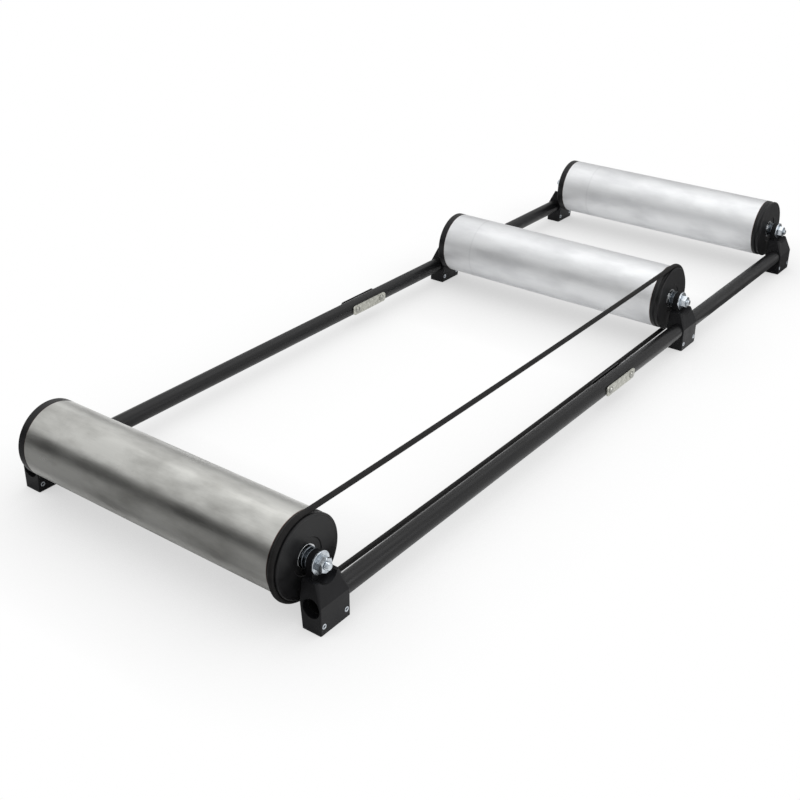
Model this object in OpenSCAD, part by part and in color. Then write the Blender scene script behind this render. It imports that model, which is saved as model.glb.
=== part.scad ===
// Folding bike rollers: three drums on two hinged rails.
// X runs along the drums, with the drive belt on the +X side, Y from the front drum to the rear one, Z up.
// The origin is on the floor at the middle of the hinges. All lengths are in millimetres.

/* [Layout] */
// Distance between the front and middle axles
front_span = 900; // [850:1:980]
// Distance between the middle and rear axles
rear_span = 420; // [360:1:460]
// Height of the axles over the floor
axle_z = 75; // [72:0.5:95]
// Height of the rails' centre line over the floor
rail_z = 31.25; // [30:0.25:33]

/* [Drums] */
// Outer diameter of a drum
drum_d = 101.6; // [90:0.1:110]
// Wall of a drum's aluminium tube
drum_wall = 3; // [2:0.25:5]
// Length of a drum's aluminium tube
drum_len = 404; // [300:1:450]
// Length of the left end cap that shows beyond the tube
left_cap_len = 11.5; // [10:0.5:14]
// Length of the pulley cap that shows beyond the tube
pulley_cap_len = 14; // [13:0.5:20]
// Length of a cap's spigot inside the tube
spigot_len = 18; // [12:0.5:30]
// Wall of a cap's rim and spigot
cap_wall = 4.5; // [4:0.25:6]
// Thickness of a cap's web
cap_web = 5; // [4:0.25:6]

/* [Bearings] */
// Outer diameter of a ball bearing
bearing_d = 30; // [28:0.5:34]
// Width of a ball bearing
bearing_w = 9; // [8:0.5:11]
// Depth of a bearing's face under the cap's face
bearing_recess = 1.5; // [0.5:0.25:2.5]
// Diameter of a bearing's balls
ball_d = 4.76; // [4:0.01:5]
// Number of balls in a bearing
ball_count = 8; // [6:1:9]
// Thickness of a bearing's shields
shield_t = 0.5; // [0.3:0.1:0.8]

/* [Axles] */
// Diameter of an axle
axle_d = 10; // [8:0.5:10.5]
// Length of an axle that stands out of its outer nut
axle_tip = 4; // [2:0.5:8]
// Length of the chamfer on an axle's ends
axle_chamfer = 1; // [0.5:0.25:1.5]
// Width across the flats of an axle nut
nut_af = 17; // [16:0.5:19]
// Height of an outer axle nut
nut_h = 8.5; // [6:0.5:10]
// Height of the thin nut between drum and support, on the belt's side
jam_nut_h = 3.7; // [3:0.1:6]
// Diameter of the washers between drum and support
inner_washer_d = 26; // [20:0.5:28]
// Thickness of the washers between drum and support
inner_washer_t = 1.6; // [1:0.1:2.5]
// Diameter of the washer under an outer nut
outer_washer_d = 29; // [24:0.5:30]
// Thickness of the washer under an outer nut
outer_washer_t = 2; // [1:0.1:3]
// Diameter of the spacer on a bearing's inner ring
spacer_d = 14; // [13:0.5:15.5]
// Gap between a cap's face and the washer beside it
cap_gap = 0.6; // [0.4:0.1:2]

/* [Belt] */
// Diameter of the round drive belt
belt_d = 7; // [5:0.25:7.5]
// Height of the belt's centre line over the drum's surface
belt_rise = 2; // [0.5:0.1:2.5]
// Distance from the tube's end to the belt's centre line
belt_offset = 8; // [6.5:0.25:8.5]

/* [Supports] */
// Width of a support's foot, along the drum
foot_w = 27; // [26.5:0.5:34]
// Depth of a support's foot, along the rail
foot_d = 50; // [44:1:60]
// Height of the foot's upright sides
foot_h = 36; // [33:0.5:40]
// Radius of the foot's upright corners
foot_r = 1.5; // [0.5:0.25:3]
// Thickness of the ear that holds the axle
ear_t = 9; // [7:0.5:11]
// Radius of the ear's round top
ear_r = 13; // [11:0.5:15]
// Slope of the foot's inner side towards the drum, from the floor to the foot's top
foot_slope = 3; // [0:0.5:4]
// Radius of the shoulder's round sides about the axle
shoulder_r = 17; // [15:0.5:20]
// Height of the shoulder's top over the floor
shoulder_h = 61; // [56:0.5:68]
// Radius of the round seat cut for the outer washer and nut
nut_seat_r = 20.5; // [17:0.5:21]

/* [Support fasteners] */
// Diameter of the hollow pins through a foot
pin_d = 7; // [4:0.5:7.5]
// Bore of the hollow pins
pin_bore = 3.2; // [2:0.1:3.5]
// Height of the hollow pins over the floor
pin_z = 10.5; // [8:0.5:12]
// Distance of the hollow pins from a foot's front and rear faces
pin_inset = 6; // [5:0.5:8]
// Length of a hollow pin that stands out of the foot
pin_proud = 0.3; // [0.1:0.1:1]
// Diameter of the grub screw under a rail
grub_d = 6; // [5:0.5:8]
// Depth of a grub screw's face under the foot
grub_inset = 1.5; // [0.5:0.25:4]
// Width across the flats of a grub screw's socket
grub_socket = 3; // [2:0.5:3.5]

/* [Rails] */
// Outer diameter of a rail
rail_d = 24; // [20:0.5:24.5]
// Wall of a rail's tube
rail_wall = 2; // [1.5:0.25:3]
// Depth of a rail's end inside the foot at that end
rail_inset = 8; // [0:0.5:12]

/* [Hinges] */
// Thickness of a hinge plate
plate_t = 2; // [1.5:0.25:4]
// Height of a hinge plate
plate_h = 16; // [14:0.5:20]
// Length of a hinge plate beyond each rivet
plate_end = 11; // [8:0.5:16]
// Radius of a hinge plate's corners
plate_corner = 5.5; // [1:0.5:7]
// Diameter of a hinge rivet's shank
rivet_d = 6; // [5:0.5:7]
// Diameter of a hinge rivet's head
rivet_head_d = 10.5; // [9:0.5:13]
// Height of a hinge rivet's head
rivet_head_h = 3; // [1.5:0.1:3.5]
// Space left between the feet when the rollers are folded
fold_gap = 1.5; // [1:0.25:4]

/* [Hidden] */
$fn = 96;
hull_fn = 48;
hull_slice = 0.5;
fit = 0.05;
washer_gap = 0.1;
nut_face_edge = 0.2;
nut_chamfer_angle = 33;
seat_lip = 2;
cap_chamfer = 0.8;
part_gap = 0.3;
cut = 1;

LEFT = -1;
RIGHT = 1;
BLACK = "#2b2c2e";
RAIL_BLACK = "#1c1d1f";
ALUMINIUM = "#c3c6ca";
STEEL = "#d3d6d8";
BRUSHED = "#a9abad";
RUBBER = "#26211e";

// Stations along Y: the hinges are half way between the front and rear axles.
front_y = -(front_span + rear_span) / 2;
middle_y = front_y + front_span;
rear_y = (front_span + rear_span) / 2;

// Stations along X, worked out from the drum to the rails.
drum_r = drum_d / 2;
body_len = left_cap_len + drum_len + pulley_cap_len;
left_stack = cap_gap + 2 * inner_washer_t + washer_gap;
right_stack = left_stack + jam_nut_h;
ear_in_x = (left_stack + body_len + right_stack) / 2;
left_face_x = -ear_in_x + left_stack;
right_face_x = ear_in_x - right_stack;
tube_left_x = left_face_x + left_cap_len;
tube_right_x = right_face_x - pulley_cap_len;
ear_out_x = ear_in_x + ear_t;
foot_in_x = ear_in_x + foot_slope;
rail_x = foot_in_x + foot_w / 2;
nut_x = ear_out_x + outer_washer_t;
axle_end_x = nut_x + nut_h + axle_tip;

// Where a pin meets the foot's sloping inner side.
pin_in_x = foot_in_x - foot_slope * pin_z / foot_h;

// Bearing: the balls run half way between the bore and the outside.
bearing_r = bearing_d / 2;
ball_r = ball_d / 2;
ball_pitch_r = (bearing_r + axle_d / 2) / 2;
ball_gap = 0.03;
land = 0.8 * ball_r;
ring_space = 0.3;

// Belt: equal pulleys, so its runs are level.
belt_x = tube_right_x + belt_offset;
belt_r = drum_r + belt_rise;

// Hinge: two pivots a link apart, so that the folded feet lie sole to sole.
link_pitch = 2 * rail_z + fold_gap;
pivot_y = link_pitch / 2;
stub_r = pivot_y - part_gap / 2;
plate_gap = rail_d / 2 + 2 * fit;

// Turns what is drawn along Z so that it lies along X and starts at x.
module along_x(x) {
    translate([x, 0, 0]) rotate([0, 90, 0]) children();
}

// Puts children, drawn for the right side, on either side.
module on_side(side) {
    if (side == RIGHT) children();
    else mirror([1, 0, 0]) children();
}

// Puts children on both sides.
module both_sides() {
    for (side = [LEFT, RIGHT]) on_side(side) children();
}

// Puts children on the axle's line at a station.
module at_axle(y) {
    translate([0, y, axle_z]) children();
}

module ring(outer_d, bore, height) {
    difference() {
        cylinder(d = outer_d, h = height);
        translate([0, 0, -cut]) cylinder(d = bore, h = height + 2 * cut);
    }
}

module round_rectangle(width, depth, radius) {
    square([width - 2 * radius, depth], center = true);
    square([width, depth - 2 * radius], center = true);
    for (sx = [-1, 1], sy = [-1, 1])
        translate([sx * (width / 2 - radius), sy * (depth / 2 - radius)]) circle(r = radius);
}

// A hexagon nut with its corners turned off at both ends.
module hex_nut(across_flats, height, bore) {
    corner_r = across_flats / sqrt(3);
    face_r = across_flats / 2 + nut_face_edge;
    bevel = (corner_r - face_r) * tan(nut_chamfer_angle);
    difference() {
        intersection() {
            cylinder(r = corner_r, h = height, $fn = 6);
            rotate_extrude() polygon([
                [0, 0], [face_r, 0], [corner_r, bevel],
                [corner_r, height - bevel], [face_r, height], [0, height]
            ]);
        }
        translate([0, 0, -cut]) cylinder(d = bore, h = height + 2 * cut);
    }
}

// Rails

// One rail half, drawn along Y from its end in a foot to the hinge. Under the pivot its end is
// round about the pivot, so that it can swing up past its neighbour. Over it the ends butt.
module rail(end_y, side) {
    toward = sign(end_y);
    butt_y = toward * part_gap / 2;
    hinge_y = toward * pivot_y;
    color(RAIL_BLACK) on_side(side) difference() {
        translate([rail_x, min(end_y, butt_y), rail_z]) rotate([-90, 0, 0])
            ring(rail_d, rail_d - 2 * rail_wall, abs(end_y - butt_y));
        translate([rail_x, hinge_y, rail_z]) rotate([0, 90, 0])
            cylinder(d = rivet_d + 2 * fit, h = rail_d + 2 * cut, center = true);
        difference() {
            translate([rail_x - rail_d, min(0, hinge_y), rail_z - rail_d])
                cube([2 * rail_d, pivot_y, rail_d]);
            translate([rail_x, hinge_y, rail_z]) rotate([0, 90, 0])
                cylinder(r = stub_r, h = 2 * rail_d + 2 * cut, center = true);
        }
    }
}

// Supports

// A thin slice of the foot at height z, its inner side at x.
module foot_slice(x, z) {
    width = foot_in_x + foot_w - x;
    translate([x + width / 2, 0, z]) linear_extrude(hull_slice)
        round_rectangle(width, foot_d, foot_r, $fn = 32);
}

// The foot with its shoulder and ear, bored for the rail, axle, pins and screw.
module support(y, side) {
    color(BLACK) on_side(side) translate([0, y, 0]) difference() {
        union() {
            hull() {
                foot_slice(foot_in_x, 0);
                foot_slice(ear_in_x, foot_h - hull_slice);
            }
            intersection() {
                hull() {
                    foot_slice(ear_in_x, foot_h - hull_slice);
                    translate([0, 0, axle_z]) along_x(ear_in_x)
                        cylinder(r = shoulder_r, h = ear_t, $fn = hull_fn);
                }
                translate([ear_in_x - cut, -foot_d, 0]) cube([2 * foot_w, 2 * foot_d, shoulder_h]);
            }
            translate([ear_in_x, -ear_r, foot_h]) cube([ear_t, 2 * ear_r, axle_z - foot_h]);
            translate([0, 0, axle_z]) along_x(ear_in_x) cylinder(r = ear_r, h = ear_t);
        }
        translate([0, 0, axle_z]) along_x(ear_in_x - cut)
            cylinder(d = axle_d + 2 * fit, h = ear_t + foot_w);
        translate([0, 0, axle_z]) along_x(ear_out_x)
            cylinder(r = nut_seat_r, h = foot_w);
        translate([rail_x, -foot_d / 2 - cut, rail_z]) rotate([-90, 0, 0])
            cylinder(d = rail_d + 2 * fit, h = foot_d + 2 * cut);
        for (end = [-1, 1])
            translate([0, end * (foot_d / 2 - pin_inset), pin_z]) along_x(ear_in_x - cut)
                cylinder(d = pin_d + 2 * fit, h = foot_slope + foot_w + 2 * cut);
        translate([rail_x, 0, -cut]) cylinder(d = grub_d + 2 * fit, h = rail_z + cut);
    }
}

// The hollow pins through both feet of a station.
module support_pins(y) {
    length = foot_in_x + foot_w - pin_in_x + 2 * pin_proud;
    color(STEEL) both_sides() for (end = [-1, 1])
        translate([0, y + end * (foot_d / 2 - pin_inset), pin_z]) along_x(pin_in_x - pin_proud)
            ring(pin_d, pin_bore, length);
}

// The grub screws that hold the rails in both feet of a station.
module rail_screws(y) {
    length = rail_z - rail_d / 2 - grub_inset - fit;
    color(STEEL) both_sides() translate([rail_x, y, grub_inset]) difference() {
        cylinder(d = grub_d, h = length);
        translate([0, 0, -cut])
            cylinder(d = grub_socket * 2 / sqrt(3), h = grub_socket + cut, $fn = 6);
    }
}

// Hinges

module hinge_plate(side, face) {
    x = face == "outer" ? rail_x + plate_gap : rail_x - plate_gap - plate_t;
    color(BRUSHED) on_side(side) translate([0, 0, rail_z]) along_x(x) difference() {
        linear_extrude(plate_t)
            round_rectangle(plate_h, 2 * (pivot_y + plate_end), plate_corner);
        for (end = [-1, 1]) translate([0, end * pivot_y, -cut])
            cylinder(d = rivet_d + 2 * fit, h = plate_t + 2 * cut);
    }
}

// A domed rivet head that stands on z = 0.
module rivet_head() {
    steps = 8;
    head_r = rivet_head_d / 2;
    ball = (head_r * head_r + rivet_head_h * rivet_head_h) / (2 * rivet_head_h);
    half = asin(head_r / ball);
    rotate_extrude() polygon([
        [0, 0],
        for (i = [0 : steps]) let (a = half * (1 - i / steps))
            [ball * sin(a), rivet_head_h - ball * (1 - cos(a))]
    ]);
}

// Four rivets, each through two plates and one rail half.
module hinge_rivets() {
    grip = 2 * (plate_gap + plate_t + fit);
    color(STEEL) both_sides() for (end = [-1, 1])
        translate([0, end * pivot_y, rail_z]) along_x(rail_x - grip / 2) {
            cylinder(d = rivet_d, h = grip);
            translate([0, 0, grip]) rivet_head();
            mirror([0, 0, 1]) rivet_head();
        }
}

// Drums

module drum_tube(y) {
    color(ALUMINIUM) at_axle(y) along_x(tube_left_x)
        ring(drum_d, drum_d - 2 * drum_wall, drum_len);
}

// A cap drawn along Z: z = 0 is the tube's end, the spigot lies under it and the face is at z = length.
module cap_body(length) {
    tube_r = drum_r - drum_wall - fit;
    rim_r = tube_r - cap_wall;
    hub_r = bearing_r + cap_wall;
    seat_z = length - bearing_recess - bearing_w;
    lip_r = bearing_r - seat_lip;
    lip_z = seat_z - seat_lip;
    difference() {
        rotate_extrude() polygon([
            [lip_r, lip_z], [hub_r, lip_z], [hub_r, length - cap_web], [rim_r, length - cap_web],
            [rim_r, -spigot_len], [tube_r, -spigot_len], [tube_r, 0], [drum_r, 0],
            [drum_r, length - cap_chamfer], [drum_r - cap_chamfer, length], [lip_r, length]
        ]);
        translate([0, 0, seat_z]) cylinder(d = bearing_d + 2 * fit, h = length);
    }
}

module left_cap(y) {
    color(BLACK) at_axle(y) mirror([1, 0, 0]) along_x(-tube_left_x) cap_body(left_cap_len);
}

module pulley_cap(y) {
    color(BLACK) at_axle(y) along_x(tube_right_x) difference() {
        cap_body(pulley_cap_len);
        translate([0, 0, belt_offset]) rotate_extrude()
            translate([belt_r, 0]) circle(d = belt_d + 2 * fit, $fn = 48);
    }
}

// Puts children, drawn along Z from a cap's face outwards, at both ends of a drum.
module at_faces(y) {
    at_axle(y) {
        along_x(right_face_x) children();
        mirror([1, 0, 0]) along_x(-left_face_x) children();
    }
}

// Bearings, drawn along Z with the outer face at the top, then put at both ends of a drum.

module at_bearings(y) {
    at_faces(y) translate([0, 0, -bearing_recess - bearing_w]) children();
}

module bearing_track() {
    translate([0, 0, bearing_w / 2]) rotate_extrude()
        translate([ball_pitch_r, 0]) circle(r = ball_r + ball_gap, $fn = 48);
}

module bearing_outer_rings(y) {
    bore_r = ball_pitch_r + land;
    shield_bore = 2 * (ball_pitch_r - land + ring_space);
    color(STEEL) at_bearings(y) difference() {
        union() {
            ring(bearing_d, 2 * bore_r, bearing_w);
            for (z = [0, bearing_w - shield_t]) translate([0, 0, z])
                ring(2 * bore_r + 2 * fit, shield_bore, shield_t);
        }
        bearing_track();
    }
}

module bearing_balls(y) {
    color(STEEL) at_bearings(y) for (i = [1 : ball_count])
        rotate(i * 360 / ball_count) translate([ball_pitch_r, 0, bearing_w / 2]) sphere(r = ball_r);
}

module bearing_inner_rings(y) {
    color(STEEL) at_bearings(y) difference() {
        ring(2 * (ball_pitch_r - land), axle_d + 2 * fit, bearing_w);
        bearing_track();
    }
}

// Axles and what sits on them

module axle(y) {
    tip_r = axle_d / 2 - axle_chamfer;
    color(STEEL) at_axle(y) along_x(-axle_end_x) rotate_extrude() polygon([
        [0, 0], [tip_r, 0], [axle_d / 2, axle_chamfer],
        [axle_d / 2, 2 * axle_end_x - axle_chamfer], [tip_r, 2 * axle_end_x], [0, 2 * axle_end_x]
    ]);
}

module axle_spacers(y) {
    color(STEEL) at_faces(y) translate([0, 0, -bearing_recess])
        ring(spacer_d, axle_d + 2 * fit, bearing_recess + cap_gap);
}

// Two washers on each side: one beside the cap, one beside the ear.
module inner_washers(y) {
    bore = axle_d + 2 * fit;
    color(STEEL) at_faces(y) translate([0, 0, cap_gap]) ring(inner_washer_d, bore, inner_washer_t);
    color(STEEL) at_axle(y) both_sides() along_x(ear_in_x - inner_washer_t)
        ring(inner_washer_d, bore, inner_washer_t);
}

// The thin nut that holds the drum off the support on the belt's side.
module jam_nut(y) {
    color(STEEL) at_axle(y) along_x(right_face_x + cap_gap + inner_washer_t)
        hex_nut(nut_af, jam_nut_h, axle_d + 2 * fit);
}

module outer_washers(y) {
    color(STEEL) at_axle(y) both_sides() along_x(ear_out_x)
        ring(outer_washer_d, axle_d + 2 * fit, outer_washer_t);
}

module axle_nuts(y) {
    color(STEEL) at_axle(y) both_sides() along_x(nut_x)
        hex_nut(nut_af, nut_h, axle_d + 2 * fit);
}

// Drive belt

// Two level runs and a half turn round each pulley.
module drive_belt() {
    color(RUBBER) translate([belt_x, 0, axle_z]) {
        for (level = [-1, 1]) translate([0, front_y, level * belt_r]) rotate([-90, 0, 0])
            cylinder(d = belt_d, h = front_span);
        for (turn = [[front_y, 180], [middle_y, 0]])
            translate([0, turn[0], 0]) rotate([0, -90, 0]) rotate([0, 0, turn[1]])
                rotate_extrude(angle = 180) translate([belt_r, 0]) circle(d = belt_d, $fn = 48);
    }
}

rail(front_y - foot_d / 2 + rail_inset, LEFT);  // front_rail_left
rail(front_y - foot_d / 2 + rail_inset, RIGHT);  // front_rail_right
rail(rear_y + foot_d / 2 - rail_inset, LEFT);  // rear_rail_left
rail(rear_y + foot_d / 2 - rail_inset, RIGHT);  // rear_rail_right
support(front_y, LEFT);  // front_support_left
support(front_y, RIGHT);  // front_support_right
support(middle_y, LEFT);  // middle_support_left
support(middle_y, RIGHT);  // middle_support_right
support(rear_y, LEFT);  // rear_support_left
support(rear_y, RIGHT);  // rear_support_right
support_pins(front_y);  // front_support_pins
support_pins(middle_y);  // middle_support_pins
support_pins(rear_y);  // rear_support_pins
rail_screws(front_y);  // front_rail_screws
rail_screws(middle_y);  // middle_rail_screws
rail_screws(rear_y);  // rear_rail_screws
hinge_plate(LEFT, "outer");  // hinge_plate_left_outer
hinge_plate(LEFT, "inner");  // hinge_plate_left_inner
hinge_plate(RIGHT, "outer");  // hinge_plate_right_outer
hinge_plate(RIGHT, "inner");  // hinge_plate_right_inner
hinge_rivets();
drum_tube(front_y);  // front_drum_tube
left_cap(front_y);  // front_left_cap
pulley_cap(front_y);  // front_pulley_cap
bearing_outer_rings(front_y);  // front_bearing_outer_rings
bearing_balls(front_y);  // front_bearing_balls
bearing_inner_rings(front_y);  // front_bearing_inner_rings
axle(front_y);  // front_axle
axle_spacers(front_y);  // front_axle_spacers
inner_washers(front_y);  // front_inner_washers
jam_nut(front_y);  // front_jam_nut
outer_washers(front_y);  // front_outer_washers
axle_nuts(front_y);  // front_axle_nuts
drum_tube(middle_y);  // middle_drum_tube
left_cap(middle_y);  // middle_left_cap
pulley_cap(middle_y);  // middle_pulley_cap
bearing_outer_rings(middle_y);  // middle_bearing_outer_rings
bearing_balls(middle_y);  // middle_bearing_balls
bearing_inner_rings(middle_y);  // middle_bearing_inner_rings
axle(middle_y);  // middle_axle
axle_spacers(middle_y);  // middle_axle_spacers
inner_washers(middle_y);  // middle_inner_washers
jam_nut(middle_y);  // middle_jam_nut
outer_washers(middle_y);  // middle_outer_washers
axle_nuts(middle_y);  // middle_axle_nuts
drum_tube(rear_y);  // rear_drum_tube
left_cap(rear_y);  // rear_left_cap
pulley_cap(rear_y);  // rear_pulley_cap
bearing_outer_rings(rear_y);  // rear_bearing_outer_rings
bearing_balls(rear_y);  // rear_bearing_balls
bearing_inner_rings(rear_y);  // rear_bearing_inner_rings
axle(rear_y);  // rear_axle
axle_spacers(rear_y);  // rear_axle_spacers
inner_washers(rear_y);  // rear_inner_washers
jam_nut(rear_y);  // rear_jam_nut
outer_washers(rear_y);  // rear_outer_washers
axle_nuts(rear_y);  // rear_axle_nuts
drive_belt();
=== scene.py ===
import math

import bmesh
import bpy
import numpy as np
from mathutils import Matrix, Vector


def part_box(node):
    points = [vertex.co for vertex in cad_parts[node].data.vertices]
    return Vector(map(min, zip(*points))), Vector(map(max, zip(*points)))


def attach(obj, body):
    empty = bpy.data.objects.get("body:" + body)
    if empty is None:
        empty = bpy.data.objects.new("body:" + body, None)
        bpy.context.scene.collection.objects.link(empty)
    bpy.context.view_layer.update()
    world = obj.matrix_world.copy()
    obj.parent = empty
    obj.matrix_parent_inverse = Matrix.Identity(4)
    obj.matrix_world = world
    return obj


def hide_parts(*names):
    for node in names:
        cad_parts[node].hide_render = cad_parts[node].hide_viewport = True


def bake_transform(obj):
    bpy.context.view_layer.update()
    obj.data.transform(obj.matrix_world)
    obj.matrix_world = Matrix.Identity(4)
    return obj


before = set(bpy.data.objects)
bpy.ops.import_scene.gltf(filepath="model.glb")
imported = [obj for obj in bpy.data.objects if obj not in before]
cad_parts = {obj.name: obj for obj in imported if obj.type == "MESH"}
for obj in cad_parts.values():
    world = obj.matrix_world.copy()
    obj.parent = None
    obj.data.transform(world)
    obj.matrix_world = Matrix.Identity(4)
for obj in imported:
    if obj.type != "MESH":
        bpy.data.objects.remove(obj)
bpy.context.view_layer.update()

# Folding bike rollers: three aluminium drums on two hinged rails. Lengths below are in
# millimetres, in the CAD's frame: X along the drums, Y from the front drum to the rear, Z up.
MM = 0.001
STATIONS = ("front", "middle", "rear")
SHARP = math.radians(28)
TINY_AREA = 1e-12


def middle_of(node):
    """The middle of a CAD node's box, in millimetres."""
    low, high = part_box(node)
    return (low + high) / 2 / MM


def ends_of(node, axis):
    """Where a CAD node starts and ends along an axis, in millimetres."""
    low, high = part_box(node)
    return low[axis] / MM, high[axis] / MM


# The drums' centre lines, from the tubes, and what rides with what.
CENTRE = {s: middle_of(s + "_drum_tube") for s in STATIONS}
CHASSIS = {"front": "front_section", "middle": "rear_section", "rear": "rear_section"}
DRUM = {s: s + "_drum" for s in STATIONS}

# ---------------------------------------------------------------- camera and light

CAMERA_AT = Vector((923.4, -1447.0, 831.1))
CAMERA_YAW, CAMERA_PITCH, CAMERA_ROLL = -0.629, -0.474, 0.014
FOCAL_PIXELS = 1187.0
IMAGE_PIXELS = 800
PRINCIPAL = (413.6, 381.2)


def make_camera():
    """The photograph's camera, solved from the feet, the drums' edges and the rails."""
    forward = Vector((math.sin(CAMERA_YAW) * math.cos(CAMERA_PITCH),
                      math.cos(CAMERA_YAW) * math.cos(CAMERA_PITCH), math.sin(CAMERA_PITCH)))
    level = forward.cross(Vector((0, 0, 1))).normalized()
    upright = level.cross(forward)
    right = level * math.cos(CAMERA_ROLL) + upright * math.sin(CAMERA_ROLL)
    up = upright * math.cos(CAMERA_ROLL) - level * math.sin(CAMERA_ROLL)
    data = bpy.data.cameras.new("photo_camera")
    data.sensor_width = 36.0
    data.lens = FOCAL_PIXELS * data.sensor_width / IMAGE_PIXELS
    data.shift_x = -(PRINCIPAL[0] - IMAGE_PIXELS / 2) / IMAGE_PIXELS
    data.shift_y = (PRINCIPAL[1] - IMAGE_PIXELS / 2) / IMAGE_PIXELS
    data.clip_end = 100
    camera = bpy.data.objects.new("photo_camera", data)
    turn = Matrix((right, up, -forward)).transposed().to_4x4()
    camera.matrix_world = Matrix.Translation(CAMERA_AT * MM) @ turn
    bpy.context.scene.collection.objects.link(camera)
    bpy.context.scene.camera = camera


def make_softbox(name, place, target, size, watts):
    """A large square lamp at a place, facing a target. Both are in metres."""
    data = bpy.data.lights.new(name, "AREA")
    data.shape = "RECTANGLE"
    data.size, data.size_y = size
    data.energy = watts
    lamp = bpy.data.objects.new(name, data)
    lamp.location = place
    lamp.rotation_mode = "QUATERNION"
    lamp.rotation_quaternion = (Vector(target) - Vector(place)).to_track_quat("-Z", "Y")
    bpy.context.scene.collection.objects.link(lamp)


# ---------------------------------------------------------------- node and colour helpers

def linear(text):
    """An sRGB hex colour as the linear RGBA that Blender's sockets take."""
    def channel(value):
        return value / 12.92 if value <= 0.04045 else ((value + 0.055) / 1.055) ** 2.4
    return (*[channel(int(text[i:i + 2], 16) / 255) for i in (1, 3, 5)], 1.0)


def add(tree, kind, settings, inputs):
    """Adds a shader node, sets its properties, and sets or links its inputs."""
    made = tree.nodes.new("ShaderNode" + kind)
    for key, value in settings.items():
        setattr(made, key, value)
    for key, value in inputs.items():
        if isinstance(value, bpy.types.NodeSocket):
            tree.links.new(value, made.inputs[key])
        else:
            made.inputs[key].default_value = value
    return made


def grains(millimetres):
    """The noise scale, for coordinates in metres, that gives grains of that size."""
    return 1 / (millimetres * MM)


def blank(name):
    """An empty node material and its output node."""
    material = bpy.data.materials.new(name)
    material.use_nodes = True
    material.node_tree.nodes.clear()
    return material, add(material.node_tree, "OutputMaterial", {}, {})


# ---------------------------------------------------------------- materials

# How far from the tube's ends the turned bands reach, and the chuck's ring stands.
TURNED_BAND, CHUCK_RING = 25, 55


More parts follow.
